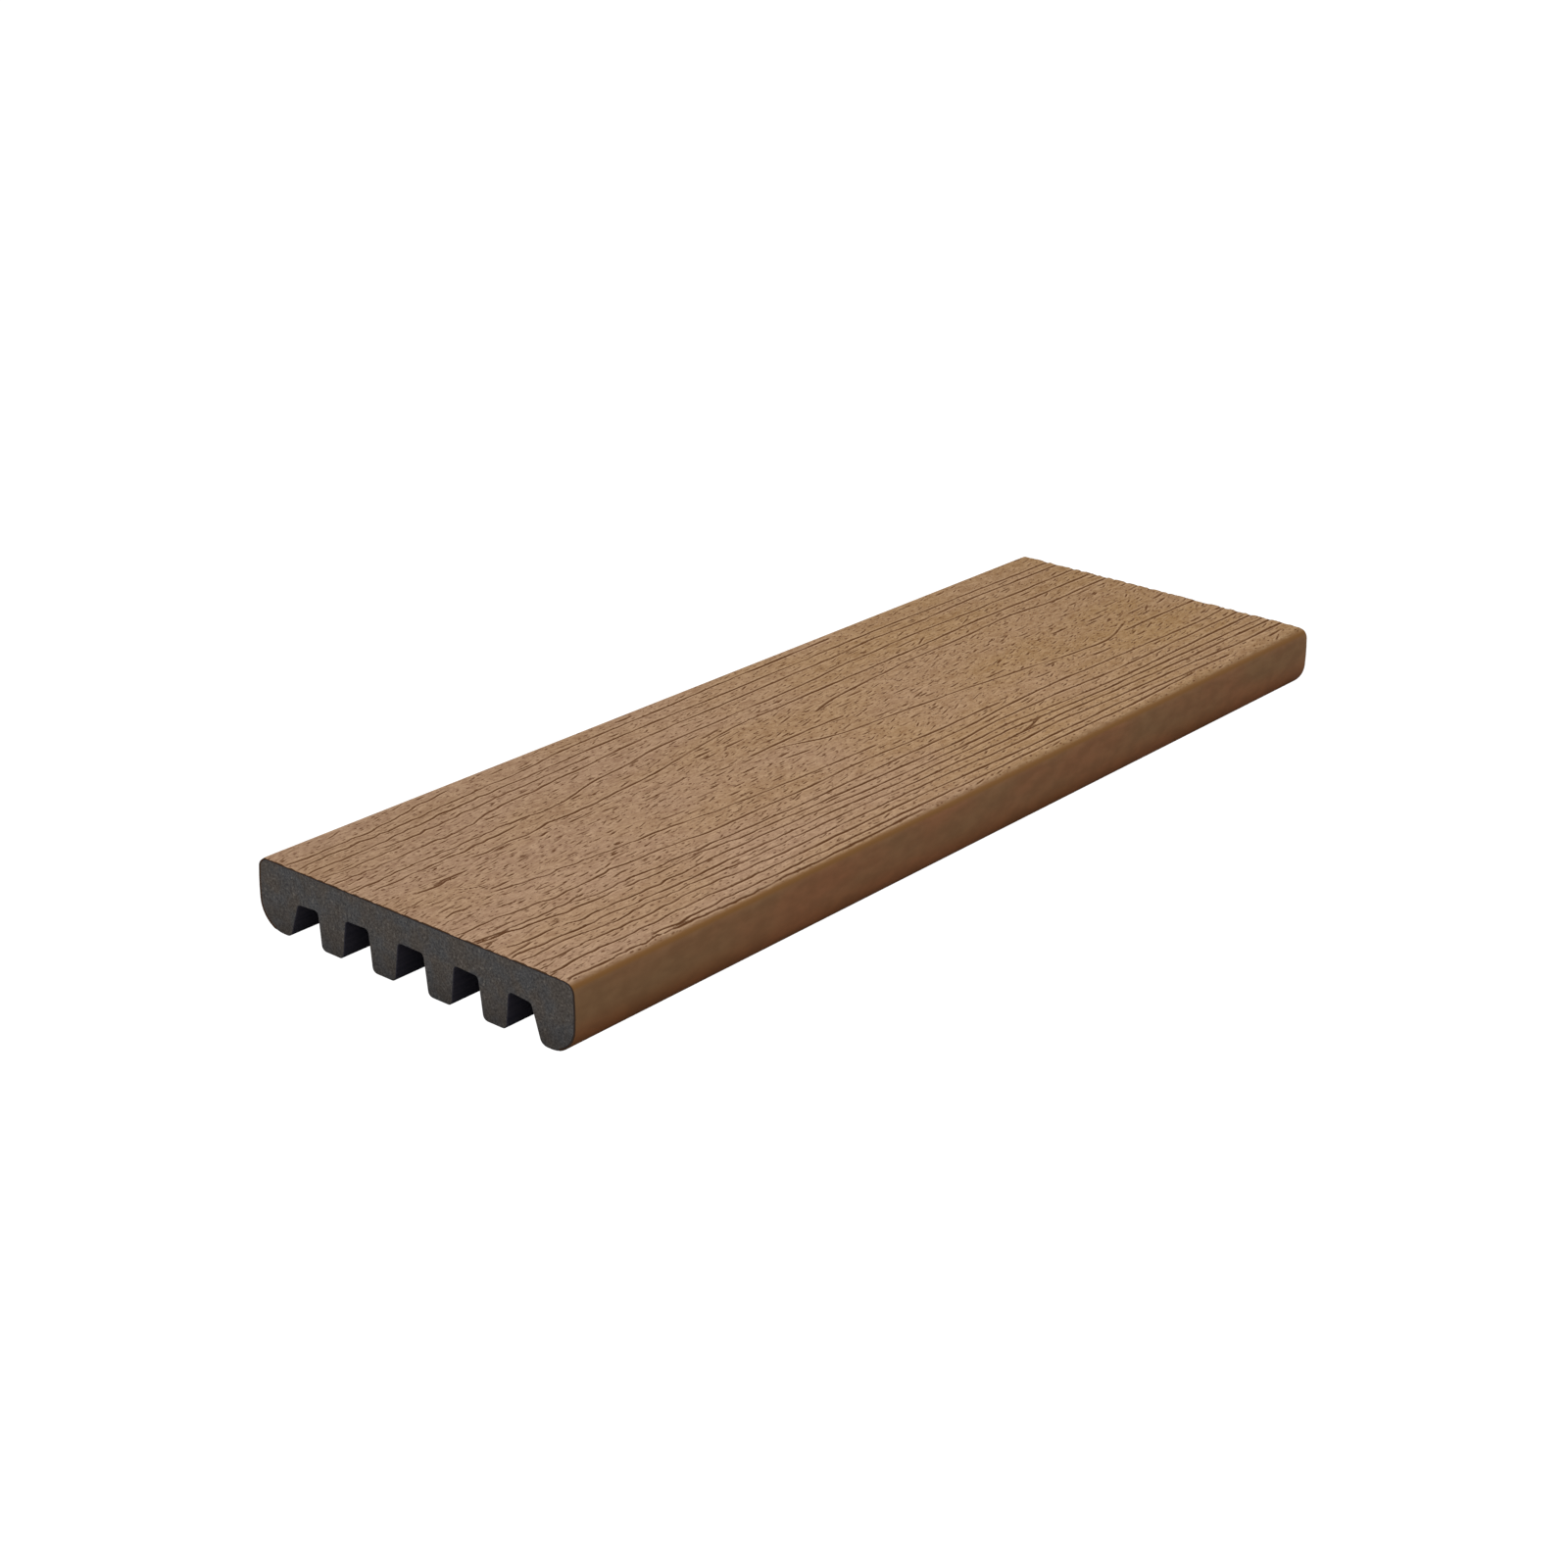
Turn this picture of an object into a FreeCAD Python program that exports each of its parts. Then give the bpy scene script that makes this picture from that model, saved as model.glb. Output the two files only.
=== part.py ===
import FreeCAD, Part
import math
import os

from FreeCAD import Vector

# A short length of capped composite deck and step board, in millimetres.
# X runs along the board, Y across it and Z up. The origin is under the middle of
# the board, on the surface that its ribs stand on.

# Board
LENGTH = 406.4            # 16 in between the two sawn ends
WIDTH = 136.1             # 5.36 in across the rounded edges
THICKNESS = 24.2          # tread surface above the feet of the ribs

# Outside shape of the section
TOP_ROUND = 4.0           # edge between the tread and a side
LOWER_ROUND = 10.0        # edge between a side and its foot
SIDE_CROWN = 90.0         # radius of the slightly bulging side
SIDE_CROWN_HEIGHT = 13.4  # height at which the board is widest

# Plastic skin round the tread and both sides
CAP_THICKNESS = 0.6
CAP_END_ANGLE = 70.0      # degrees round the lower edge at which the skin stops

# Grooves under the board, from the middle outwards. The board is symmetric, so each
# groove beside the middle one appears on both sides.
#   mouth_in, mouth_out    distance of the mouth's edges from the middle
#   depth_in, depth_out    ceiling height at the inner and at the outer wall
#   draft_in, draft_out    lean of each wall in degrees, so that the mouth is wider
CENTRE_GROOVE = dict(mouth_in=-7.1, mouth_out=7.1, depth_in=13.6, depth_out=13.6,
                     draft_in=7.5, draft_out=7.5)
MIDDLE_GROOVE = dict(mouth_in=17.15, mouth_out=30.3, depth_in=13.9, depth_out=13.6,
                     draft_in=6.0, draft_out=8.0)
OUTER_GROOVE = dict(mouth_in=40.0, mouth_out=54.1, depth_in=12.9, depth_out=12.25,
                    draft_in=5.5, draft_out=18.0)
CEILING_ROUND = 1.5
FOOT_ROUND = 2.1
OUTER_FOOT_ROUND = 3.0    # on the inner side of the two outermost feet


def on_section(y, z):
    """Point of the section, drawn at the board's -X end."""
    return Vector(-LENGTH / 2, y, z)


def line(start, end):
    return Part.LineSegment(start, end).toShape()


def arc(centre, radius, angle_from, angle_to):
    """Arc in the section plane, angles in degrees from +Y towards +Z."""
    points = []
    for angle in (angle_from, (angle_from + angle_to) / 2, angle_to):
        turn = math.radians(angle)
        points.append(on_section(centre[0] + radius * math.cos(turn),
                                 centre[1] + radius * math.sin(turn)))
    return Part.Arc(*points).toShape()


def mirrored(edges):
    """The same edges on the -Y side, in reverse order."""
    origin, across = Vector(0, 0, 0), Vector(0, 1, 0)
    return [edge.mirror(origin, across) for edge in reversed(edges)]


def side_arcs():
    """Centre, radius and end angles of the arcs from the lower edge to the tread."""
    crown = (WIDTH / 2 - SIDE_CROWN, SIDE_CROWN_HEIGHT)
    low_rise = LOWER_ROUND - crown[1]
    low_reach = math.sqrt((SIDE_CROWN - LOWER_ROUND) ** 2 - low_rise ** 2)
    top_rise = THICKNESS - TOP_ROUND - crown[1]
    top_reach = math.sqrt((SIDE_CROWN - TOP_ROUND) ** 2 - top_rise ** 2)
    low_angle = math.degrees(math.atan2(low_rise, low_reach))
    top_angle = math.degrees(math.atan2(top_rise, top_reach))
    lower = (crown[0] + low_reach, LOWER_ROUND)
    upper = (crown[0] + top_reach, THICKNESS - TOP_ROUND)
    return [(lower, LOWER_ROUND, -CAP_END_ANGLE, low_angle),
            (crown, SIDE_CROWN, low_angle, top_angle),
            (upper, TOP_ROUND, top_angle, 90.0)]


def skin_line(inset):
    """Edges from one end of the skin over the tread to the other, moved in by inset."""
    side = [arc(centre, radius - inset, low, high) for centre, radius, low, high in side_arcs()]
    tread_edge = side[-1].valueAt(side[-1].LastParameter)
    tread = line(tread_edge, on_section(-tread_edge.y, tread_edge.z))
    return side + [tread] + mirrored(side)


def rounded_line(corners):
    """Edges through the corners (y, z, radius), each inner corner turned into an arc."""
    edges = []
    start = on_section(*corners[0][:2])
    for before, corner, after in zip(corners, corners[1:], corners[2:]):
        tip = on_section(*corner[:2])
        back = (on_section(*before[:2]) - tip).normalize()
        ahead = (on_section(*after[:2]) - tip).normalize()
        half_angle = back.getAngle(ahead) / 2
        reach = corner[2] / math.tan(half_angle)
        middle = (back + ahead).normalize()
        nearest = corner[2] / math.sin(half_angle) - corner[2]
        arc_start = tip + back * reach
        arc_end = tip + ahead * reach
        edges.append(line(start, arc_start))
        edges.append(Part.Arc(arc_start, tip + middle * nearest, arc_end).toShape())
        start = arc_end
    edges.append(line(start, on_section(*corners[-1][:2])))
    return edges


def groove_corners(groove, foot_in, foot_out):
    """Corners of a groove from its inner foot to its outer foot."""
    lean_in = groove["depth_in"] * math.tan(math.radians(groove["draft_in"]))
    lean_out = groove["depth_out"] * math.tan(math.radians(groove["draft_out"]))
    return [(groove["mouth_in"], 0.0, foot_in),
            (groove["mouth_in"] + lean_in, groove["depth_in"], CEILING_ROUND),
            (groove["mouth_out"] - lean_out, groove["depth_out"], CEILING_ROUND),
            (groove["mouth_out"], 0.0, foot_out)]


def underside():
    """Edges along the ribs and grooves, from the +Y end of the skin to the -Y end."""
    lower_centre = side_arcs()[0][0]
    edge_foot = (lower_centre[0], 0.0, 0.0)
    centre = groove_corners(CENTRE_GROOVE, FOOT_ROUND, FOOT_ROUND)[2:]
    middle = groove_corners(MIDDLE_GROOVE, FOOT_ROUND, FOOT_ROUND)
    outer = groove_corners(OUTER_GROOVE, FOOT_ROUND, OUTER_FOOT_ROUND)
    half = centre + middle + outer
    other_half = [(-y, z, radius) for y, z, radius in half]
    corners = [edge_foot] + half[::-1] + other_half + [(-edge_foot[0], 0.0, 0.0)]
    under_edge = arc(lower_centre, LOWER_ROUND, -CAP_END_ANGLE, -90.0)
    return [under_edge] + rounded_line(corners) + mirrored([under_edge])


def board(edges):
    """Solid of the board's length from the closed chain of section edges."""
    face = Part.Face(Part.Wire(Part.__sortEdges__(edges)))
    return face.extrude(Vector(LENGTH, 0, 0))


def skin_ends():
    """The two short edges where the skin's ends butt against the core."""
    low_centre = side_arcs()[0][0]
    turn = math.radians(-CAP_END_ANGLE)
    points = [on_section(low_centre[0] + radius * math.cos(turn),
                         low_centre[1] + radius * math.sin(turn))
              for radius in (LOWER_ROUND, LOWER_ROUND - CAP_THICKNESS)]
    step = line(*points)
    return [step] + mirrored([step])


def core():
    return board(underside() + skin_ends() + skin_line(CAP_THICKNESS))


def cap():
    return board(skin_line(0.0) + skin_ends() + skin_line(CAP_THICKNESS))


os.makedirs("parts", exist_ok=True)
for name, make in (("core", core), ("cap", cap)):
    shape = make()
    box = shape.BoundBox
    print(name, shape.ShapeType, "valid", shape.isValid(), "solids", len(shape.Solids),
          "volume", round(shape.Volume, 1), "box", [round(v, 2) for v in (
              box.XMin, box.XMax, box.YMin, box.YMax, box.ZMin, box.ZMax)])
    shape.exportStep("parts/" + name + ".step")
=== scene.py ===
import math

import bpy
import numpy as np
from mathutils import Matrix, Vector
from mathutils.geometry import delaunay_2d_cdt


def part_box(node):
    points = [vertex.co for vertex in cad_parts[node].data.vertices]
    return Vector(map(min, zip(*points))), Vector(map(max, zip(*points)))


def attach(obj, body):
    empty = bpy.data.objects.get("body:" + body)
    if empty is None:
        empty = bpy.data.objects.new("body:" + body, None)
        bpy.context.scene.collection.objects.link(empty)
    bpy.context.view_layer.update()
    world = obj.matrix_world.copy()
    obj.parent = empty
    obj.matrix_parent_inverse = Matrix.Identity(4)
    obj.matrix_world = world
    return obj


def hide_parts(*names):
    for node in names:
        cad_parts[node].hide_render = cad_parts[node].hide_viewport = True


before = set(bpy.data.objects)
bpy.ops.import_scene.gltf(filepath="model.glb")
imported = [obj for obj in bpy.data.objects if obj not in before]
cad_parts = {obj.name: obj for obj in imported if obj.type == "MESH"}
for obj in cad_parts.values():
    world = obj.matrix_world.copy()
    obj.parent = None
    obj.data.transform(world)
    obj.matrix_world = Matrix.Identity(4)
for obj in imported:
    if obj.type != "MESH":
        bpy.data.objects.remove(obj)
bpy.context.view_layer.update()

MM = 0.001
SEED = 642

# ---------------------------------------------------------------- the board's section
# The board's box gives its length, width and thickness; the rest repeats the CAD design.
CAP_LOW, CAP_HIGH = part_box("cap")
CORE_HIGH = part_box("core")[1]
LENGTH = CAP_HIGH.x - CAP_LOW.x
HALF_LENGTH = LENGTH / 2
HALF_WIDTH = CAP_HIGH.y
THICKNESS = CAP_HIGH.z
CAP_THICKNESS = CAP_HIGH.z - CORE_HIGH.z
TOP_ROUND = 4.0 * MM
LOWER_ROUND = 10.0 * MM
SIDE_CROWN = 90.0 * MM
SIDE_CROWN_HEIGHT = 13.4 * MM
CAP_END_ANGLE = 70.0
CEILING_ROUND = 1.5 * MM
FOOT_ROUND = 2.1 * MM
OUTER_FOOT_ROUND = 3.0 * MM

# Mouth edges, ceiling heights and wall leans of the grooves, from the middle outwards
CENTRE_GROOVE = dict(mouth=(-7.1, 7.1), depth=(13.6, 13.6), draft=(7.5, 7.5))
MIDDLE_GROOVE = dict(mouth=(17.15, 30.3), depth=(13.9, 13.6), draft=(6.0, 8.0))
OUTER_GROOVE = dict(mouth=(40.0, 54.1), depth=(12.9, 12.25), draft=(5.5, 18.0))


def side_arcs():
    """Centre, radius and end angles of the arcs from the skin's end up to the tread."""
    crown = (HALF_WIDTH - SIDE_CROWN, SIDE_CROWN_HEIGHT)
    low_rise = LOWER_ROUND - crown[1]
    low_reach = math.sqrt((SIDE_CROWN - LOWER_ROUND) ** 2 - low_rise ** 2)
    top_rise = THICKNESS - TOP_ROUND - crown[1]
    top_reach = math.sqrt((SIDE_CROWN - TOP_ROUND) ** 2 - top_rise ** 2)
    low_angle = math.degrees(math.atan2(low_rise, low_reach))
    top_angle = math.degrees(math.atan2(top_rise, top_reach))
    lower = (crown[0] + low_reach, LOWER_ROUND)
    upper = (crown[0] + top_reach, THICKNESS - TOP_ROUND)
    return [(lower, LOWER_ROUND, -CAP_END_ANGLE, low_angle),
            (crown, SIDE_CROWN, low_angle, top_angle),
            (upper, TOP_ROUND, top_angle, 90.0)]


def arc_points(centre, radius, angle_from, angle_to, steps):
    """Points along an arc as (y, z), both ends included, angles in degrees."""
    turns = np.radians(np.linspace(angle_from, angle_to, steps + 1))
    return np.stack([centre[0] + radius * np.cos(turns), centre[1] + radius * np.sin(turns)], 1)


def skin_path(inset, arc_steps, tread_steps):
    """Section of the skin as points (y, z) and outward normals, from +Y over the tread to -Y."""
    points, normals = [], []
    for (centre, radius, low, high), steps in zip(side_arcs(), arc_steps):
        ring = arc_points(centre, radius - inset, low, high, steps)[:-1]
        points.append(ring)
        normals.append((ring - centre) / (radius - inset))
    edge = side_arcs()[-1][0][0]
    side_points, side_normals = np.vstack(points), np.vstack(normals)
    across = np.linspace(edge, -edge, tread_steps + 1)
    tread = np.stack([across, np.full_like(across, THICKNESS - inset)], 1)
    up = np.tile([0.0, 1.0], (len(tread), 1))
    flip = np.array([-1.0, 1.0])
    path = np.vstack([side_points, tread, side_points[::-1] * flip])
    return path, np.vstack([side_normals, up, side_normals[::-1] * flip])


def rounded_outline(corners, steps):
    """Points (y, z) through the corners (y, z, radius), with each inner corner rounded."""
    points = [np.array([corners[0][:2]])]
    for before, corner, after in zip(corners, corners[1:], corners[2:]):
        tip = np.array(corner[:2])
        back = np.array(before[:2]) - tip
        ahead = np.array(after[:2]) - tip
        back /= np.linalg.norm(back)
        ahead /= np.linalg.norm(ahead)
        half_angle = math.acos(float(back @ ahead)) / 2
        middle = (back + ahead) / np.linalg.norm(back + ahead)
        centre = tip + middle * corner[2] / math.sin(half_angle)
        first = tip + back * corner[2] / math.tan(half_angle) - centre
        last = tip + ahead * corner[2] / math.tan(half_angle) - centre
        start = math.atan2(first[1], first[0])
        turn = (math.atan2(last[1], last[0]) - start + math.pi) % (2 * math.pi) - math.pi
        points.append(arc_points(centre, corner[2], math.degrees(start),
                                 math.degrees(start + turn), steps))
    points.append(np.array([corners[-1][:2]]))
    return np.vstack(points)


def groove_corners(groove, foot_in, foot_out):
    """Corners of a groove as (y, z, radius) from its inner foot to its outer foot."""
    mouth_in, mouth_out = (v * MM for v in groove["mouth"])
    depth_in, depth_out = (v * MM for v in groove["depth"])
    lean_in, lean_out = (math.tan(math.radians(v)) for v in groove["draft"])
    return [(mouth_in, 0.0, foot_in),
            (mouth_in + depth_in * lean_in, depth_in, CEILING_ROUND),
            (mouth_out - depth_out * lean_out, depth_out, CEILING_ROUND),
            (mouth_out, 0.0, foot_out)]


def core_outline():
    """Closed outline (y, z) of the core: under the skin, then along the ribs and grooves."""
    lower_centre = side_arcs()[0][0]
    centre = groove_corners(CENTRE_GROOVE, FOOT_ROUND, FOOT_ROUND)[2:]
    middle = groove_corners(MIDDLE_GROOVE, FOOT_ROUND, FOOT_ROUND)
    outer = groove_corners(OUTER_GROOVE, FOOT_ROUND, OUTER_FOOT_ROUND)
    half = centre + middle + outer
    other_half = [(-y, z, radius) for y, z, radius in half]
    ribs = rounded_outline([(-lower_centre[0], 0.0, 0.0)] + other_half[::-1] + half
                           + [(lower_centre[0], 0.0, 0.0)], 8)
    lower_edge = arc_points(lower_centre, LOWER_ROUND, -90.0, -CAP_END_ANGLE, 4)
    top = skin_path(CAP_THICKNESS, (16, 6, 10), 60)[0]
    other_edge = lower_edge[::-1] * np.array([-1.0, 1.0])
    return np.vstack([ribs[:-1], lower_edge, top, other_edge[:-1]])


# ---------------------------------------------------------------- the embossed grain
# Long grain grooves of the tread as (distance along the board from its -X end, distance
# from its middle), in millimetres: a flame of two nested tongues between straight bands.
BACK_LINES = [
    [(0, 55), (30, 55.2), (47, 57.2), (62, 59.6), (76, 62)],
    [(0, 50.3), (22, 51.5), (45, 51.8), (80, 54.4), (102, 55), (122, 57.8), (160, 58.8),
     (210, 60.5), (275, 61.6)],
    [(0, 45.8), (19, 45.5), (42, 47.5), (85, 50.3), (102, 50.3), (130, 52), (180, 52.6),
     (245, 53.4), (290, 54.5), (350, 54), (407, 53.5)],
    [(28, 42.5), (50, 43.4), (75, 44.8), (105, 46.5), (129, 47)],
    [(0, 39.8), (13, 38.7), (36, 40.4)],
    [(0, 34), (18, 33.4), (46, 34.4), (60, 35.4), (74, 38.9), (96, 40.6), (108, 42), (121, 42),
     (138, 44.2), (165, 45.5), (210, 46.5), (262, 47.6), (285, 49.3), (305, 48), (345, 49.4),
     (407, 48.8)],
    [(0, 25.5), (25, 26), (73, 27.3), (84, 25.7), (98, 27.4), (110, 30.8), (128, 32.4),
     (146, 35.6), (185, 36.7), (232, 37.5), (254, 39.8), (300, 41), (330, 40), (407, 40.8)],
    [(5, 21), (40, 22), (71, 24.1)],
    [(42, 16.4), (70, 17.1), (79, 18.3), (96, 17.8), (118, 19.9), (133, 21), (160, 26),
     (186, 29.2), (230, 30), (290, 30.8), (328, 32.6), (358, 32.2), (407, 32.3)],
    [(150, 19.6), (161, 20.2)],
    [(82, 13.2), (95, 14.1)],
    [(211, 16.5), (221, 20.2), (246, 22.4), (275, 24.6), (310, 25), (345, 26.4), (363, 24),
     (407, 24.4)],
]
FLAME_LINES = [
    [(164, 7), (178, 7.5), (205, 7.8), (216, 7.4)],
    [(174, 4.7), (184, 3), (189, 0.6), (202, -3), (222, -4.6), (268, -8.6), (278, -10.2),
     (300, -13), (322, -16.1), (347, -17.7), (355, -14.8), (365, -11)],
    [(357, -16.3), (407, -16.5)],
    [(22, 4), (27, 0.2), (31, -0.6)],
    [(29, -4.2), (39, -4.6)],
    [(29, -6), (37, -7.3), (42, -9.2), (62, -9.6), (80, -12), (101, -12.6), (120, -15.5),
     (150, -17), (180, -18.1), (202, -18.6)],
    [(12, 9.6), (30, 9.8)],
    [(20, 11.3), (36, 11.4)],
]
NEAR_LINES = [
    [(0, -19.5), (38, -22.6), (72, -21), (82, -22.8), (98, -23.3), (108, -24.9), (155, -25),
     (182, -24), (232, -26), (250, -25.2), (264, -25.9)],
    [(0, -26.8), (33, -29.2), (47, -27.7)],
    [(0, -28.5), (20, -30), (33, -32.6), (52, -33.5), (56, -32)],
    [(40, -29.8), (78, -31), (145, -32.5), (200, -31.4), (234, -31.6), (258, -30), (285, -29),
     (330, -30.3), (385, -31.8), (407, -31)],
    [(58, -33.3), (80, -34.3), (92, -33.3), (112, -35.3), (165, -36.4), (225, -37.7), (246, -36),
     (282, -36), (320, -38), (407, -36.9)],
    [(4, -36.5), (17, -37.8), (24, -37.4)],
    [(25, -38.5), (60, -40), (96, -38.8), (150, -40), (175, -41.3), (228, -41.2), (248, -40.4),
     (278, -42.3), (322, -44), (378, -42.8), (407, -42.7)],
    [(0, -42), (25, -43.1), (75, -44), (145, -43.9), (190, -45), (244, -44), (282, -46.1),
     (407, -48)],
    [(0, -46), (28, -45.6), (35, -48), (47, -46.5), (100, -48), (150, -47.6), (180, -48.7),
     (275, -49), (335, -50.8), (407, -51)],
    [(245, -48.8), (256, -46.4), (265, -44.2)],
    [(0, -51), (50, -51.5), (72, -51), (103, -52.7), (190, -52.4), (240, -53.4), (262, -52),
     (290, -53.7), (352, -55.2), (372, -56.4), (407, -56)],
    [(0, -57.7), (18, -56.8), (32, -57.5), (50, -56.6), (125, -57.4), (165, -56.5), (240, -58.3),
     (300, -58.3), (362, -60.5)],
    [(38, -62.2), (110, -61.7), (205, -62), (240, -61.5), (285, -62.3), (336, -61.2)],
    [(0, -64), (48, -64.4), (80, -65.2), (122, -65.0), (168, -64.6)],
]
LINE_DEPTH = 0.36 * MM        # of a groove of full strength
LINE_WIDTH = 0.42 * MM        # half width at about a third of the depth
FAR_WIDENING = 0.25           # how much wider the grooves are at the +X end
MAX_DEPTH = 0.46 * MM         # of the emboss, less than the skin's thickness
FAINTEST = 1e-6               # smallest strength told apart from none
FAR_OFF = 3.0                 # offset from a groove, in half widths, that is clear of it
JAGGED_LENGTH = 120.0 * MM    # the stretch from the -X end where the lines are jagged
LINE_FADE = 3.0 * MM          # over which a line's end fades
END_STRENGTH = 0.3            # of a line at its last point
BEND_REACH = 5.0 * MM         # over which a line's bends are rounded
# Sideways wobble of a line and the length of its waves: everywhere, then mostly where jagged
WAVER = (0.20 * MM, 13 * MM)
JAG = (0.50 * MM, 5.5 * MM)
FINE_JAG = (0.38 * MM, 2.8 * MM)
BROKEN_LINES = 260            # short jagged lines tried between the long ones
BROKEN_LENGTH = (3.5, 13)     # of one of them, in millimetres
BROKEN_EDGE = 62              # furthest from the middle, in millimetres
BROKEN_SPREAD = 0.6 * MM      # its course is tested this far to both sides
STROKES = 3600                # short tapered strokes tried
SHORT_SHARE = 0.80            # of the strokes
SHORT_STROKE = (2.2, 4.6)     # length in millimetres
LONG_STROKE = (4.6, 8)
STROKE_WIDTH = (0.22, 0.38)   # half width in millimetres
EDGE_MARGIN = 3 * MM          # of the tread that has no strokes
LINE_GAP = 1.7                # half widths from a short mark's test places to any long line
MARK_GAP = 2.7                # half widths from them to any other short mark
CHIP_DEPTH = 0.30 * MM        # of the chips that the saw left in the tread's ends
TREAD_SPACING = 0.44 * MM     # between the mesh's lengthwise rows on the tread
STATION_SPACING = 1.4 * MM    # between the mesh's crosswise rows
EDGE_BREAK = 0.22 * MM        # at the edges of the core's sawn ends
SIDE_STEPS = (8, 3, 8)        # mesh steps of each side's three arcs
LINING_STEPS = 40             # mesh steps across the skin's inner face
LINING_STATIONS = 21          # crosswise rows of the skin's inner face


def smooth_noise(rng, where, wavelength):
    """Smooth random curve between -1 and 1, sampled at where, in metres."""
    knots = int(LENGTH / wavelength) + 6
    values = rng.uniform(-1.0, 1.0, knots)
    position = (where + HALF_LENGTH) / wavelength + 1.0
    index = np.clip(position.astype(int), 0, knots - 2)
    blend = position - index
    blend = blend * blend * (3.0 - 2.0 * blend)
    return values[index] * (1.0 - blend) + values[index + 1] * blend


def line_course(points, along):
    """Distance from the middle of a grain line at each station, rounded at its points."""
    steps, offsets = (np.array(v) * MM for v in zip(*points))
    course = np.zeros_like(along)
    shifts = np.linspace(-BEND_REACH, BEND_REACH, 9)
    for shift in shifts:
        course += np.interp(along + shift, steps - HALF_LENGTH, offsets)
    return course / len(shifts)


def press(grain, window, offset, strength):
    """Presses a groove into a window of the grain, wherever it is deeper than what is there.

    Each vertex keeps the offset from its groove's middle, in half widths and with its sign,
    so that the groove's middle is found exactly between two vertices."""
    score = np.log(np.maximum(strength, FAINTEST)) - offset ** 2
    deeper = score > grain["score"][window]
    changes = {"score": score, "offset": np.clip(offset, -FAR_OFF, FAR_OFF), "strength": strength}
    for name, values in changes.items():
        grain[name][window] = np.where(deeper, values, grain[name][window])


def widening(along):
    """How much wider the grooves are than near the -X end."""
    return 1.0 + FAR_WIDENING * (along + HALF_LENGTH) / LENGTH


def add_line(grain, along, across, points, rng, force=1.0):
    """Presses one line that fades out at both ends, given by its points in millimetres."""
    start, end = (points[i][0] * MM - HALF_LENGTH for i in (0, -1))
    jagged = np.clip(1.4 - (along + HALF_LENGTH) / JAGGED_LENGTH, 0.25, 1.0)
    course = line_course(points, along)
    course += WAVER[0] * smooth_noise(rng, along, WAVER[1])
    course += JAG[0] * jagged * smooth_noise(rng, along, JAG[1])
    course += FINE_JAG[0] * jagged * smooth_noise(rng, along, FINE_JAG[1])
    strength = (np.clip((along - start) / LINE_FADE + END_STRENGTH, 0, 1)
                * np.clip((end - along) / LINE_FADE + END_STRENGTH, 0, 1))
    strength = strength * force * (0.82 + 0.14 * smooth_noise(rng, along, 22 * MM)
                                   + 0.22 * smooth_noise(rng, along, 5 * MM))
    width = LINE_WIDTH * (1.0 + 0.25 * smooth_noise(rng, along, 7 * MM)) * widening(along)
    first, last = np.searchsorted(along, [start - LINE_FADE, end + LINE_FADE])
    offset = (across[None, :] - course[first:last, None]) / width[first:last, None]
    press(grain, np.s_[first:last, :], offset,
          np.broadcast_to(strength[first:last, None], offset.shape))


def is_free(lines, marks, along, across, places):
    """Whether no groove is near the places, given as (distance along, distance across)."""
    for place in places:
        row = min(np.searchsorted(along, place[0]), len(along) - 1)
        column = min(np.searchsorted(-across, -place[1]), len(across) - 1)
        if (abs(lines["offset"][row, column]) < LINE_GAP
                or abs(marks["offset"][row, column]) < MARK_GAP):
            return False
    return True


def add_broken_lines(lines, marks, along, across, rng):
    """Presses short jagged lines between the long ones, most of them near the -X end."""
    for _ in range(BROKEN_LINES):
        start = (LENGTH / MM) * rng.random() ** 1.9
        length = rng.uniform(*BROKEN_LENGTH)
        place = np.clip(rng.normal(2, 30), -BROKEN_EDGE, BROKEN_EDGE)
        rise = length * rng.normal(0.05, 0.05)
        force = rng.uniform(0.6, 1.0)
        points = [(start, place), (start + length, place + rise)]
        tests = [((start + length * t) * MM - HALF_LENGTH, (place + rise * t) * MM)
                 for t in (0.0, 0.2, 0.4, 0.6, 0.8, 1.0)]
        tests += [(x, y + side) for x, y in tests for side in (-BROKEN_SPREAD, BROKEN_SPREAD)]
        if is_free(lines, marks, along, across, tests):
            add_line(marks, along, across, points, rng, force)


def add_stroke(marks, along, across, centre, length, slope, width, strength):
    """Presses one short tapered stroke."""
    reach = length / 2 + 1.5 * MM
    first, last = np.searchsorted(along, [centre[0] - reach, centre[0] + reach])
    side = abs(slope) * reach + FAR_OFF * width
    low, high = np.searchsorted(-across, [-(centre[1] + side), -(centre[1] - side)])
    distance = along[first:last, None] - centre[0]
    offset = (across[None, low:high] - centre[1] - slope * distance) / width
    taper = np.exp(-(2.0 * distance / length) ** 4)
    press(marks, np.s_[first:last, low:high], offset,
          np.broadcast_to(strength * taper, offset.shape))


def add_strokes(lines, marks, along, across, rng):
    """Presses short strokes wherever the long lines leave room for them."""
    for _ in range(STROKES):
        centre = (LENGTH * rng.random() ** 1.15 - HALF_LENGTH, rng.normal(2 * MM, 36 * MM))
        lengths = SHORT_STROKE if rng.random() < SHORT_SHARE else LONG_STROKE
        length = rng.uniform(*lengths) * MM
        lean = np.interp(centre[0], [-HALF_LENGTH, 0.0, HALF_LENGTH], [0.10, 0.17, 0.20])
        slope = rng.normal(lean, 0.12)
        width = rng.uniform(*STROKE_WIDTH) * MM * widening(centre[0])
        strength = rng.uniform(0.42, 0.95)
        tests = [(centre[0] + length * t, centre[1] + length * t * slope)
                 for t in (-0.5, -0.2, 0.2, 0.5)]
        on_tread = abs(centre[1]) < HALF_WIDTH - EDGE_MARGIN
        if on_tread and is_free(lines, marks, along, across, tests):
            add_stroke(marks, along, across, centre, length, slope, width, strength)


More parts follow.
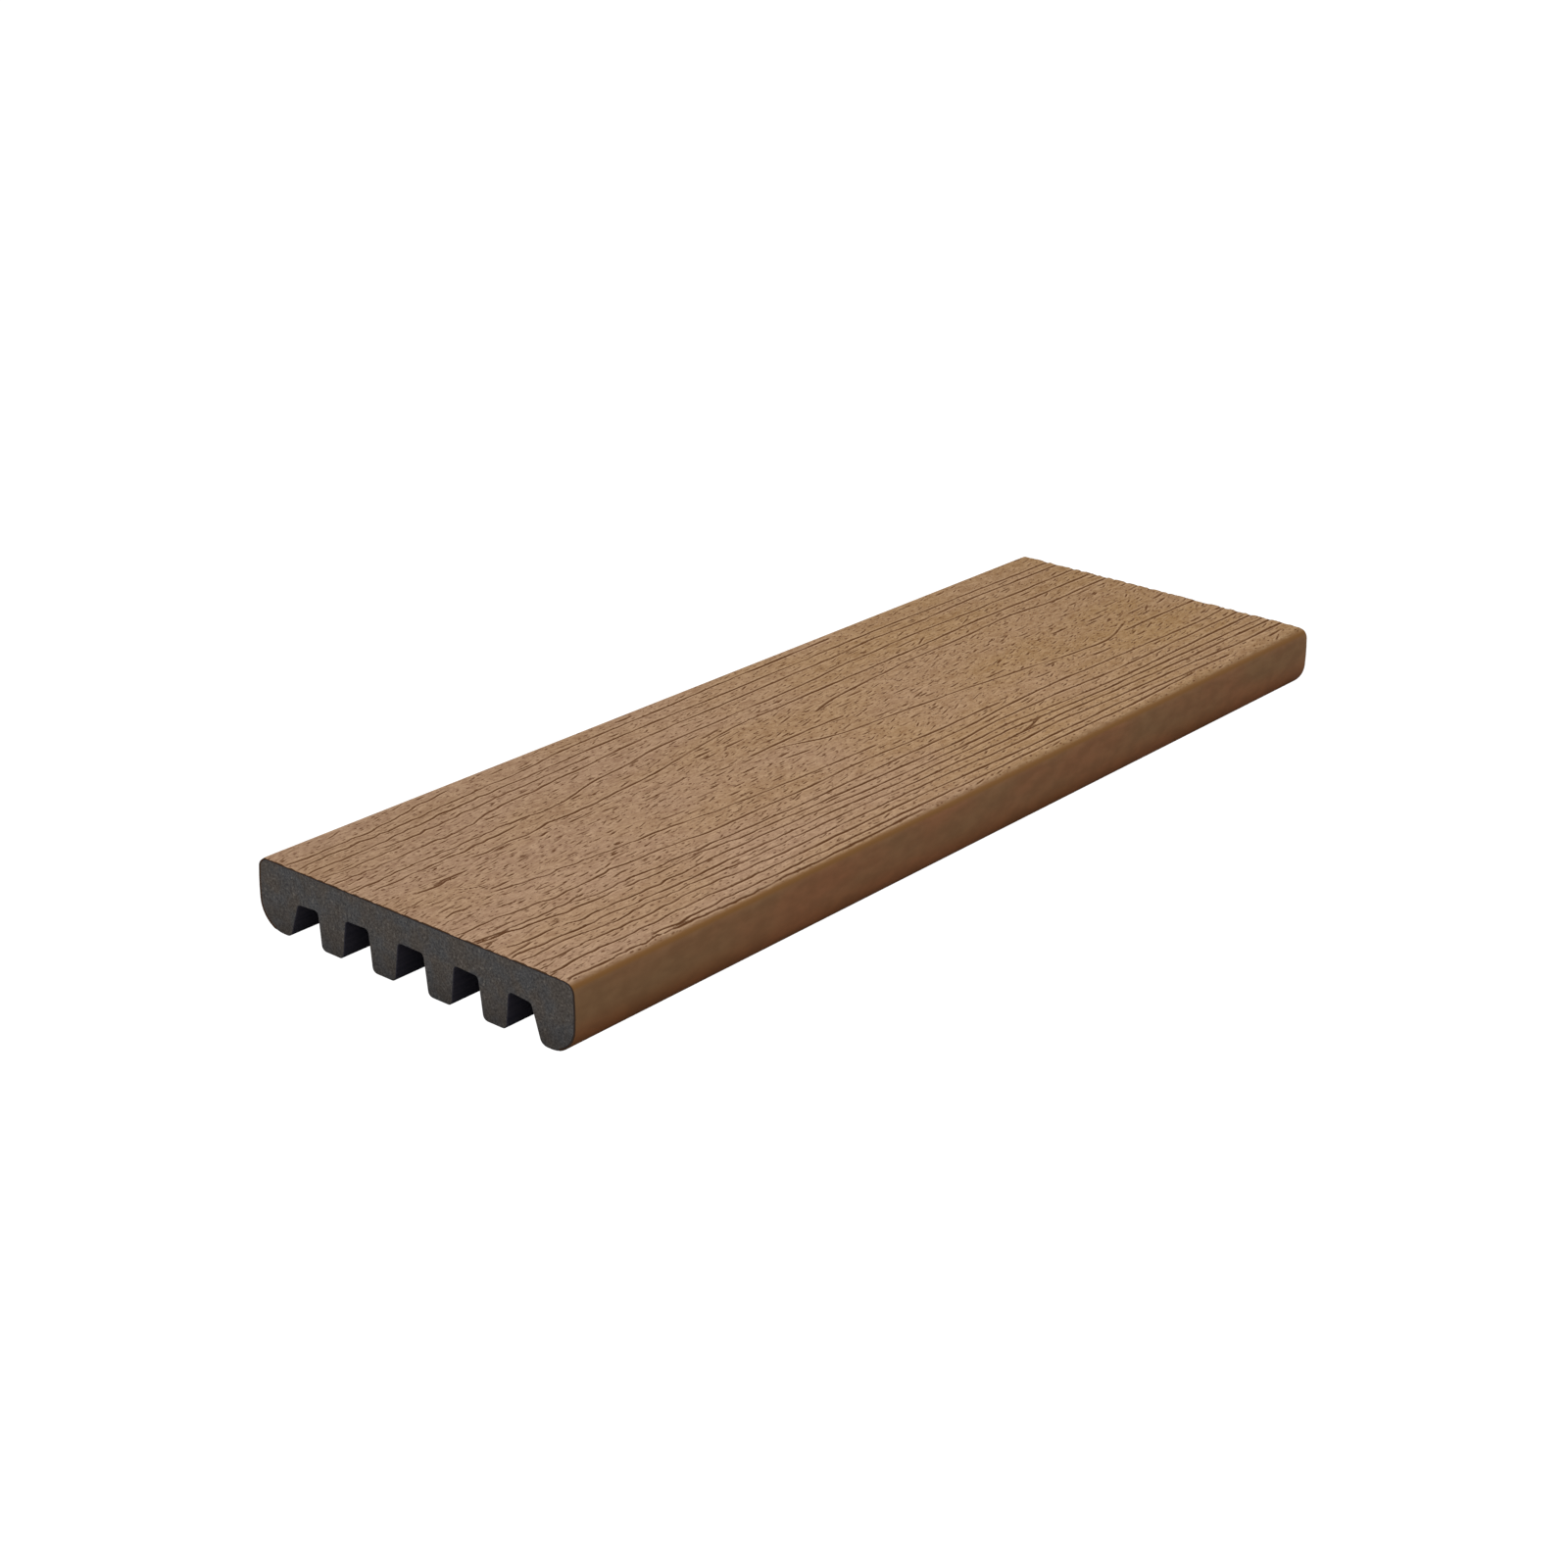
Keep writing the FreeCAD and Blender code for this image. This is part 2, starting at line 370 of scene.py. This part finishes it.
def saw_chips(along, across):
    """Depth of the small chips along the tread's two sawn edges."""
    rng = np.random.default_rng(SEED + 1)
    from_end = HALF_LENGTH - np.abs(along)
    fade = np.exp(-from_end / (0.7 * MM))
    raggedness = np.clip(0.4 + smooth_noise(rng, across, 2.2 * MM)
                         + 0.5 * smooth_noise(rng, across, 0.9 * MM), 0.0, 1.0)
    return CHIP_DEPTH * fade[:, None] * raggedness[None, :]


def press_grain(along, across):
    """The long lines and the short marks, for each station along and each row across."""
    rng = np.random.default_rng(SEED)
    shape = (len(along), len(across))
    lines, marks = ({"score": np.full(shape, -1e9), "offset": np.full(shape, FAR_OFF),
                     "strength": np.zeros(shape)} for _ in range(2))
    for points in BACK_LINES + FLAME_LINES + NEAR_LINES:
        add_line(lines, along, across, points, rng)
    add_broken_lines(lines, marks, along, across, rng)
    add_strokes(lines, marks, along, across, rng)
    return {"line": lines, "mark": marks}


# ---------------------------------------------------------------- meshes
def grid_faces(first, rows, columns):
    """Quads of a grid of vertices numbered row by row from first."""
    index = first + np.arange(rows * columns).reshape(rows, columns)
    corners = [index[:-1, :-1], index[1:, :-1], index[1:, 1:], index[:-1, 1:]]
    return np.stack([c.ravel() for c in corners], 1).tolist()


def zipped_faces(row_a, row_b, places_a, places_b):
    """Triangles between two rows of vertices, matched by their places along the seam."""
    faces = []
    a, b = 0, 0
    last_a, last_b = len(row_a) - 1, len(row_b) - 1
    while a < last_a or b < last_b:
        if b == last_b or (a < last_a and places_a[a + 1] <= places_b[b + 1]):
            faces.append((row_a[a], row_a[a + 1], row_b[b]))
            a += 1
        else:
            faces.append((row_a[a], row_b[b + 1], row_b[b]))
            b += 1
    return faces


def new_piece(name, vertices, faces, sharp_angle):
    """Mesh object with faces pointing outward, smooth shaded below the sharp angle."""
    mesh = bpy.data.meshes.new(name)
    mesh.from_pydata([tuple(v) for v in vertices], [], faces)
    mesh.validate()
    mesh.polygons.foreach_set("use_smooth", [True] * len(mesh.polygons))
    mesh.set_sharp_from_angle(angle=math.radians(sharp_angle))
    piece = bpy.data.objects.new(name, mesh)
    bpy.context.scene.collection.objects.link(piece)
    return piece


def travel_along(path):
    """Distance along a path of points to each of them."""
    return np.concatenate([[0.0], np.cumsum(np.linalg.norm(np.diff(path, axis=0), axis=1))])


def build_skin():
    """The plastic skin as a closed shell: embossed outside, plain where it meets the core."""
    edge = side_arcs()[-1][0][0]
    outer, normals = skin_path(0.0, SIDE_STEPS, round(2 * edge / TREAD_SPACING))
    inner, _ = skin_path(CAP_THICKNESS, SIDE_STEPS, LINING_STEPS)
    stations = np.linspace(-HALF_LENGTH, HALF_LENGTH, round(LENGTH / STATION_SPACING) + 1)
    travel = travel_along(outer)
    tread = np.clip((normals[:, 1] - 0.35) / 0.60, 0.0, 1.0)
    grain = press_grain(stations, travel[-1] / 2 - travel)
    pressed = [kind["strength"] * tread ** 2 * np.exp(-kind["offset"] ** 2)
               for kind in grain.values()]
    depth = LINE_DEPTH * np.maximum(*pressed)
    depth += saw_chips(stations, travel[-1] / 2 - travel) * tread
    depth = np.minimum(depth, MAX_DEPTH)
    ys = outer[None, :, 0] - depth * normals[None, :, 0]
    zs = outer[None, :, 1] - depth * normals[None, :, 1]
    xs = np.repeat(stations[:, None], len(outer), 1)
    shell = np.stack([xs, ys, zs], 2).reshape(-1, 3)
    inner_stations = np.linspace(-HALF_LENGTH, HALF_LENGTH, LINING_STATIONS)
    lining = [(x, y, z) for x in inner_stations for y, z in inner]
    rows, columns = len(stations), len(outer)
    inner_rows, inner_columns = len(inner_stations), len(inner)
    base = rows * columns
    outside = np.arange(base).reshape(rows, columns)
    inside = base + np.arange(inner_rows * inner_columns).reshape(inner_rows, inner_columns)
    inner_travel = travel_along(skin_path(0.0, SIDE_STEPS, LINING_STEPS)[0])
    faces = [face[::-1] for face in grid_faces(0, rows, columns)]
    faces += grid_faces(base, inner_rows, inner_columns)
    faces += zipped_faces(outside[0], inside[0], travel, inner_travel)
    faces += [f[::-1] for f in zipped_faces(outside[-1], inside[-1], travel, inner_travel)]
    faces += [f[::-1] for f in zipped_faces(outside[:, 0], inside[:, 0], stations, inner_stations)]
    faces += zipped_faces(outside[:, -1], inside[:, -1], stations, inner_stations)
    faces = [tuple(int(i) for i in f) for f in faces]
    piece = new_piece("cap_skin", np.vstack([shell, np.array(lining)]), faces, sharp_angle=62.0)
    surface = {"tread": np.tile(tread, (rows, 1))}
    for kind, layer in grain.items():
        surface[kind + "_offset"] = layer["offset"]
        surface[kind + "_clear"] = np.abs(layer["offset"])
        surface[kind + "_strength"] = layer["strength"] * tread ** 2
    for name, values in surface.items():
        add_attribute(piece, name, np.concatenate([values.ravel(), np.zeros(len(lining))]))
    return piece


def add_attribute(piece, name, values):
    """One number for each vertex, which the piece's material reads by name."""
    layer = piece.data.attributes.new(name, "FLOAT", "POINT")
    layer.data.foreach_set("value", values.astype(np.float32))


def build_core():
    """The core as an extruded solid with a small break at the edges of its sawn ends."""
    outline = core_outline()
    count = len(outline)
    following = np.roll(outline, -1, 0)
    before = np.roll(outline, 1, 0)
    tangent = (following - outline) / np.linalg.norm(following - outline, axis=1)[:, None]
    tangent_back = (outline - before) / np.linalg.norm(outline - before, axis=1)[:, None]
    direction = tangent + tangent_back
    direction /= np.linalg.norm(direction, axis=1)[:, None]
    inward = np.stack([-direction[:, 1], direction[:, 0]], 1)
    rings = []
    for x, inset, step in ((-HALF_LENGTH, 1.0, 0.0), (-HALF_LENGTH, 0.0, 1.0),
                           (HALF_LENGTH, 0.0, -1.0), (HALF_LENGTH, 1.0, 0.0)):
        rings.append([(x + step * EDGE_BREAK, *(p + n * inset * EDGE_BREAK))
                      for p, n in zip(outline, inward)])
    vertices = [v for ring in rings for v in ring]
    faces = []
    for ring in range(len(rings) - 1):
        for i in range(count):
            j = (i + 1) % count
            faces.append((ring * count + i, ring * count + j,
                          (ring + 1) * count + j, (ring + 1) * count + i))
    faces = [f[::-1] for f in faces]
    for ring, outward in ((0, -1.0), (len(rings) - 1, 1.0)):
        flat = [Vector((v[1], v[2])) for v in rings[ring]]
        edges = [(i, (i + 1) % count) for i in range(count)]
        _, _, triangles, *_ = delaunay_2d_cdt(flat, edges, [], 1, 1e-7)
        for a, b, c in triangles:
            corners = (ring * count + a, ring * count + b, ring * count + c)
            faces.append(corners if outward > 0 else corners[::-1])
    return new_piece("core_extrusion", vertices, faces, sharp_angle=30.0)


# ---------------------------------------------------------------- materials
class Nodes:
    """Short forms for building a material's node tree."""

    def __init__(self, name):
        self.material = bpy.data.materials.new(name)
        self.material.use_nodes = True
        self.tree = self.material.node_tree
        self.shader = self.tree.nodes["Principled BSDF"]
        self.place = self.new("ShaderNodeTexCoord").outputs["Object"]

    def new(self, kind, **settings):
        node = self.tree.nodes.new(kind)
        for key, value in settings.items():
            setattr(node, key, value)
        return node

    def link(self, source, target):
        self.tree.links.new(source, target)

    def fill(self, socket, value):
        if isinstance(value, bpy.types.NodeSocket):
            self.link(value, socket)
        else:
            socket.default_value = value

    def math(self, operation, *values, clamp=False):
        node = self.new("ShaderNodeMath", operation=operation, use_clamp=clamp)
        for socket, value in zip(node.inputs, values):
            self.fill(socket, value)
        return node.outputs[0]

    def mix(self, factor, low, high):
        node = self.new("ShaderNodeMix", data_type="RGBA")
        self.fill(node.inputs[0], factor)
        self.fill(node.inputs[6], low)
        self.fill(node.inputs[7], high)
        return node.outputs[2]

    def spread(self, value, low, high, to_low=0.0, to_high=1.0):
        node = self.new("ShaderNodeMapRange", interpolation_type="SMOOTHSTEP")
        for socket, number in zip(node.inputs, (value, low, high, to_low, to_high)):
            self.fill(socket, number)
        return node.outputs[0]

    def noise(self, size, stretch=(1.0, 1.0, 1.0), detail=2.0, roughness=0.5, shift=0.0):
        """Noise from 0 to 1 whose blobs are about size metres, longer along stretched axes."""
        mapping = self.new("ShaderNodeMapping")
        self.link(self.place, mapping.inputs["Vector"])
        mapping.inputs["Location"].default_value = (shift, shift, shift)
        mapping.inputs["Scale"].default_value = [1.0 / (size * s) for s in stretch]
        node = self.new("ShaderNodeTexNoise")
        self.link(mapping.outputs[0], node.inputs["Vector"])
        node.inputs["Scale"].default_value = 1.0
        node.inputs["Detail"].default_value = detail
        node.inputs["Roughness"].default_value = roughness
        return node.outputs["Fac"]

    def pores(self, place, spacing, half_size, share, shift):
        """Scattered ovals, 1 inside, one or none in each cell of the spacing given as (x, y)."""
        mapping = self.new("ShaderNodeMapping")
        self.link(place, mapping.inputs["Vector"])
        mapping.inputs["Location"].default_value = (shift, shift, 0.0)
        mapping.inputs["Scale"].default_value = (1.0 / spacing[0], 1.0 / spacing[1], 1.0)
        cells = self.new("ShaderNodeTexVoronoi", voronoi_dimensions="2D")
        self.link(mapping.outputs[0], cells.inputs["Vector"])
        cells.inputs["Scale"].default_value = 1.0
        luck = cells.outputs["Color"]
        radius = self.spread(self.axis(luck, "X"), 0.0, 1.0, 0.45 * half_size, 1.2 * half_size)
        inside = self.spread(cells.outputs["Distance"], self.math("MULTIPLY", radius, 0.45),
                             radius, 1.0, 0.0)
        present = self.math("LESS_THAN", self.axis(luck, "Y"), share)
        return self.math("MULTIPLY", inside, present)

    def attribute(self, name):
        return self.new("ShaderNodeAttribute", attribute_name=name).outputs["Fac"]

    def axis(self, vector, name):
        split = self.new("ShaderNodeSeparateXYZ")
        self.link(vector, split.inputs[0])
        return split.outputs[name]

    def bump(self, height, distance, strength):
        node = self.new("ShaderNodeBump")
        self.fill(node.inputs["Strength"], strength)
        node.inputs["Distance"].default_value = distance
        self.link(height, node.inputs["Height"])
        return node.outputs[0]


def rgb(red, green, blue):
    """Linear colour from display values of 0 to 255."""
    linear = [((v / 255 + 0.055) / 1.055) ** 2.4 for v in (red, green, blue)]
    return (*linear, 1.0)


def leaning_place(n):
    """The place with its width measured across strokes that lean more towards the +X end."""
    length, width = n.axis(n.place, "X"), n.axis(n.place, "Y")
    lean = n.math("MULTIPLY", length, n.math("ADD", n.math("MULTIPLY", length, 0.25), 0.16))
    wander = n.math("MULTIPLY", n.math("SUBTRACT", n.noise(2.2 * MM, shift=8.8), 0.5), 0.9 * MM)
    across = n.math("ADD", n.math("SUBTRACT", width, lean), wander)
    join = n.new("ShaderNodeCombineXYZ")
    n.link(length, join.inputs["X"])
    n.link(across, join.inputs["Y"])
    return join.outputs[0]


def groove_profile(n, kind):
    """A groove and a painted highlight on both sides of it, drawn from the offset so that they are
    sharp anywhere.
    """
    offset = n.attribute(kind + "_offset")
    clear = n.attribute(kind + "_clear")
    strength = n.attribute(kind + "_strength")
    profile = n.math("EXPONENT", n.math("MULTIPLY", n.math("MULTIPLY", offset, offset), -1.0))
    groove = n.math("MULTIPLY", n.math("MULTIPLY", profile, strength),
                    n.spread(clear, 1.2, 1.75, 1.0, 0.0))
    # Painted highlight: a paler band beside the groove
    lip_highlight = n.math("MULTIPLY", n.math("MULTIPLY", n.spread(clear, 0.9, 1.7), strength),
                 n.spread(clear, 1.9, 2.8, 1.0, 0.0))
    return groove, lip_highlight


def skin_material():
    """Brown skin: embossed two-tone tread, smooth sides, dark where it is sawn."""
    n = Nodes("cap_plastic")
    tread = n.attribute("tread")
    length = n.axis(n.place, "X")
    height = n.axis(n.place, "Z")

    line, line_lip_highlight = groove_profile(n, "line")
    mark, mark_lip_highlight = groove_profile(n, "mark")
    groove = n.math("MAXIMUM", line, mark)
    lip_highlight = n.math("MAXIMUM", line_lip_highlight, mark_lip_highlight)

    grain_dark, grain_pale = rgb(104, 70, 42), rgb(216, 188, 154)
    # The tread's colour: pinker near the -X end, more ochre towards the other
    patches = n.noise(30 * MM, (2.2, 1.0, 1.0), detail=3.0, shift=3.1)
    warm = n.math("ADD", n.spread(length, -HALF_LENGTH, HALF_LENGTH, 0.05, 0.80),
                  n.spread(patches, 0.36, 0.64, -0.20, 0.20), clamp=True)
    tread_colour = n.mix(warm, rgb(184, 143, 113), rgb(171, 126, 64))
    # Painted shade: darker towards the +Y edge, most of all near the -X end
    shaded = n.math("MULTIPLY", n.spread(n.axis(n.place, "Y"), -HALF_WIDTH, HALF_WIDTH, 0.0, 0.27),
                    n.spread(length, -HALF_LENGTH, 0.5 * HALF_LENGTH, 1.35, 0.9))
    tread_colour = n.mix(shaded, tread_colour, rgb(112, 74, 42))
    # Painted shade: darker towards the +X end, and warmer there
    tread_colour = n.mix(n.spread(length, 0.2 * HALF_LENGTH, HALF_LENGTH, 0.0, 0.15),
                         tread_colour, rgb(106, 62, 0))
    soft = n.noise(2.4 * MM, (2.6, 1.0, 1.0), detail=2.0, shift=13.3)
    tread_colour = n.mix(n.spread(soft, 0.36, 0.64), n.mix(0.15, tread_colour, grain_dark),
                         n.mix(0.12, tread_colour, grain_pale))
    fine = n.noise(0.9 * MM, (3.2, 1.0, 1.0), detail=4.0, roughness=0.7, shift=1.7)
    tread_colour = n.mix(n.spread(fine, 0.3, 0.72), n.mix(0.32, tread_colour, grain_dark),
                         n.mix(0.31, tread_colour, grain_pale))
    place = leaning_place(n)
    small = n.pores(place, (4.6 * MM, 1.8 * MM), 0.22, 0.72, 0.37)
    tiny = n.pores(place, (2.7 * MM, 1.2 * MM), 0.20, 0.60, 5.21)
    pores = n.math("MAXIMUM", small, n.math("MULTIPLY", tiny, 0.7))
    pores = n.math("MULTIPLY", pores, n.spread(tread, 0.6, 1.0))
    tread_colour = n.mix(n.math("MULTIPLY", pores, 0.85), tread_colour, rgb(100, 58, 22))
    # Painted highlight: paler colour beside each groove and mark
    tread_colour = n.mix(n.math("MULTIPLY", lip_highlight, 0.42), tread_colour, rgb(218, 184, 148))
    tread_colour = n.mix(n.spread(groove, 0.08, 0.75, 0.0, 0.97), tread_colour, rgb(94, 52, 6))

    mottle = n.noise(15 * MM, (2.5, 1.0, 1.0), detail=3.0, shift=7.3)
    # Sides: redder towards the bottom, and darker there as painted shade
    side_colour = n.mix(n.spread(height, 4.0 * MM, 14.0 * MM), rgb(152, 95, 54), rgb(161, 124, 87))
    reddish = n.math("MULTIPLY", n.spread(mottle, 0.30, 0.72, 0.10, 0.70),
                     n.spread(length, -HALF_LENGTH, -0.4 * HALF_LENGTH, 0.35, 1.0))
    side_colour = n.mix(reddish, side_colour, rgb(178, 116, 80))
    dapple = n.noise(4.5 * MM, (2.0, 1.0, 1.0), detail=3.0, shift=10.1)
    side_colour = n.mix(n.spread(dapple, 0.66, 0.34, 0.0, 0.34), side_colour, rgb(128, 90, 60))
    colour = n.mix(n.spread(tread, 0.0, 0.4), side_colour, rgb(158, 112, 64))
    colour = n.mix(n.spread(tread, 0.55, 1.0), colour, tread_colour)
    normal = n.new("ShaderNodeTexCoord").outputs["Normal"]
    sawn = n.spread(n.math("ABSOLUTE", n.axis(normal, "X")), 0.75, 0.95)
    sawn_colour = n.mix(tread, rgb(84, 66, 52), rgb(120, 82, 48))
    n.link(n.mix(sawn, colour, sawn_colour), n.shader.inputs["Base Color"])

    n.link(n.spread(fine, 0.25, 0.75, 0.52, 0.68), n.shader.inputs["Roughness"])
    n.shader.inputs["Specular IOR Level"].default_value = 0.10
    micro = n.noise(0.5 * MM, (2.5, 1.0, 1.0), detail=3.0, roughness=0.6, shift=5.9)
    relief = n.math("ADD", n.math("MULTIPLY", fine, 0.7), n.math("MULTIPLY", micro, 0.3))
    relief = n.math("SUBTRACT", relief, n.math("MULTIPLY", pores, 0.9))
    relief = n.math("SUBTRACT", relief, n.math("MULTIPLY", groove, 1.0))
    n.link(n.bump(relief, 0.14 * MM, n.spread(tread, 0.0, 1.0, 0.10, 0.60)),
           n.shader.inputs["Normal"])
    return n.material


def core_material():
    """Dark grey composite: pale flecks where it is sawn, near black where it was extruded."""
    n = Nodes("core_composite")
    height = n.axis(n.place, "Z")
    normal = n.new("ShaderNodeTexCoord").outputs["Normal"]
    sawn = n.spread(n.math("ABSOLUTE", n.axis(normal, "X")), 0.80, 0.98)
    cloud = n.noise(7 * MM, detail=3.0, shift=2.3)
    blotch = n.noise(2.6 * MM, detail=2.0, shift=12.6)
    grit = n.noise(0.8 * MM, detail=4.0, roughness=0.7, shift=4.1)
    flecks = n.noise(1.3 * MM, detail=1.0, roughness=0.4, shift=9.4)
    sawn_colour = n.mix(n.spread(cloud, 0.35, 0.65), rgb(115, 103, 93), rgb(105, 107, 112))
    sawn_colour = n.mix(n.spread(blotch, 0.62, 0.38, 0.0, 0.32), sawn_colour, rgb(66, 61, 60))
    sawn_colour = n.mix(n.spread(grit, 0.3, 0.75), n.mix(0.52, sawn_colour, rgb(50, 46, 44)),
                        n.mix(0.38, sawn_colour, rgb(166, 160, 153)))
    sawn_colour = n.mix(n.spread(flecks, 0.65, 0.73, 0.0, 0.50), sawn_colour, rgb(164, 156, 147))
    # Painted shade: the sawn end grows darker towards the bottom
    foot = n.spread(height, 0.0, 13.0 * MM, 0.34, 0.0)
    sawn_colour = n.mix(foot, sawn_colour, rgb(60, 54, 52))
    drag = n.noise(0.8 * MM, (30.0, 1.0, 1.0), detail=2.0, shift=6.2)
    extruded_colour = n.mix(n.spread(drag, 0.3, 0.7), rgb(62, 60, 72), rgb(74, 70, 80))
    n.link(n.mix(sawn, extruded_colour, sawn_colour), n.shader.inputs["Base Color"])
    n.link(n.spread(sawn, 0.0, 1.0, 0.55, 0.85), n.shader.inputs["Roughness"])
    n.shader.inputs["Specular IOR Level"].default_value = 0.3
    relief = n.math("ADD", n.math("MULTIPLY", grit, 0.6), n.math("MULTIPLY", flecks, 0.4))
    n.link(n.bump(relief, 0.25 * MM, n.spread(sawn, 0.0, 1.0, 0.15, 0.7)),
           n.shader.inputs["Normal"])
    return n.material


# ---------------------------------------------------------------- studio
CAMERA_TURNS = (-50.537, 22.586, 0.934)     # azimuth, elevation and roll in degrees
CAMERA_DISTANCE = 988.3 * MM
CAMERA_TARGET = (175.76 * MM, 1.27 * MM, 12.0 * MM)     # the first from the board's -X end
FLOOR_HALF_SIZE = 30.0
FLOOR_DROP = 0.05 * MM        # below the feet


def white_for_camera(tree, seen, lighting, target):
    """Shows one shader to the camera and lets another one light the object."""
    rays = tree.nodes.new("ShaderNodeLightPath")
    choice = tree.nodes.new("ShaderNodeMixShader")
    tree.links.new(rays.outputs["Is Camera Ray"], choice.inputs[0])
    tree.links.new(lighting, choice.inputs[1])
    tree.links.new(seen, choice.inputs[2])
    tree.links.new(choice.outputs[0], target)


def build_floor():
    """A wide white floor with a faint shadow, which throws little light back up."""
    size = FLOOR_HALF_SIZE
    mesh = bpy.data.meshes.new("floor")
    mesh.from_pydata([(-size, -size, 0), (size, -size, 0), (size, size, 0), (-size, size, 0)],
                     [], [(0, 1, 2, 3)])
    floor = bpy.data.objects.new("floor", mesh)
    floor.location.z = -FLOOR_DROP
    bpy.context.scene.collection.objects.link(floor)
    material = bpy.data.materials.new("floor_white")
    material.use_nodes = True
    tree = material.node_tree
    tree.nodes.remove(tree.nodes["Principled BSDF"])
    dim = tree.nodes.new("ShaderNodeBsdfDiffuse")
    dim.inputs["Color"].default_value = (0.30, 0.30, 0.30, 1.0)
    paper = tree.nodes.new("ShaderNodeBsdfDiffuse")
    paper.inputs["Color"].default_value = (0.9, 0.9, 0.9, 1.0)
    glow = tree.nodes.new("ShaderNodeEmission")
    glow.inputs["Strength"].default_value = 1.15
    seen = tree.nodes.new("ShaderNodeMixShader")
    seen.inputs[0].default_value = 0.93
    tree.links.new(paper.outputs[0], seen.inputs[1])
    tree.links.new(glow.outputs[0], seen.inputs[2])
    white_for_camera(tree, seen.outputs[0], dim.outputs[0],
                     tree.nodes["Material Output"].inputs["Surface"])
    mesh.materials.append(material)


def build_world():
    """White surroundings, dimmer as a light than as a backdrop."""
    world = bpy.data.worlds.new("studio")
    bpy.context.scene.world = world
    world.use_nodes = True
    tree = world.node_tree
    backdrop = tree.nodes["Background"]
    backdrop.inputs["Strength"].default_value = 1.15
    backdrop.inputs["Color"].default_value = (1.0, 1.0, 1.0, 1.0)
    light = tree.nodes.new("ShaderNodeBackground")
    light.inputs["Strength"].default_value = 0.52
    light.inputs["Color"].default_value = (1.0, 1.0, 1.0, 1.0)
    white_for_camera(tree, backdrop.outputs[0], light.outputs[0],
                     tree.nodes["World Output"].inputs["Surface"])


def add_area_light(name, place, size, power):
    """A square soft light at place, aimed at the board."""
    lamp = bpy.data.lights.new(name, "AREA")
    lamp.shape = "SQUARE"
    lamp.size = size
    lamp.energy = power
    light = bpy.data.objects.new(name, lamp)
    light.location = place
    light.rotation_euler = (-Vector(place)).to_track_quat("-Z", "Y").to_euler()
    bpy.context.scene.collection.objects.link(light)


def add_camera():
    """Camera above the near corner, looking along the board."""
    azimuth, elevation, roll = (math.radians(v) for v in CAMERA_TURNS)
    target = Vector((CAMERA_TARGET[0] - HALF_LENGTH, CAMERA_TARGET[1], CAMERA_TARGET[2]))
    back = Vector((math.sin(azimuth) * math.cos(elevation),
                   -math.cos(azimuth) * math.cos(elevation), math.sin(elevation)))
    right = (-back).cross(Vector((0.0, 0.0, 1.0))).normalized()
    up = back.cross(right)
    level_right = right * math.cos(roll) + up * math.sin(roll)
    level_up = up * math.cos(roll) - right * math.sin(roll)
    data = bpy.data.cameras.new("camera")
    data.sensor_width = 36.0
    data.lens = 66.286
    data.clip_start = 0.01
    camera = bpy.data.objects.new("camera", data)
    turn = Matrix((level_right, level_up, back)).transposed()
    camera.matrix_world = Matrix.Translation(target + back * CAMERA_DISTANCE) @ turn.to_4x4()
    bpy.context.scene.collection.objects.link(camera)
    bpy.context.scene.camera = camera


def finish_piece(piece, material, node):
    """Gives a piece its material and puts it in the place of a CAD node."""
    piece.data.materials.append(material)
    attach(piece, "root")
    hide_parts(node)


finish_piece(build_skin(), skin_material(), "cap")
finish_piece(build_core(), core_material(), "core")
build_floor()
build_world()
add_area_light("key", place=(0.12, 1.15, 1.45), size=0.9, power=18.0)
add_camera()
bpy.context.scene.view_settings.view_transform = "Standard"
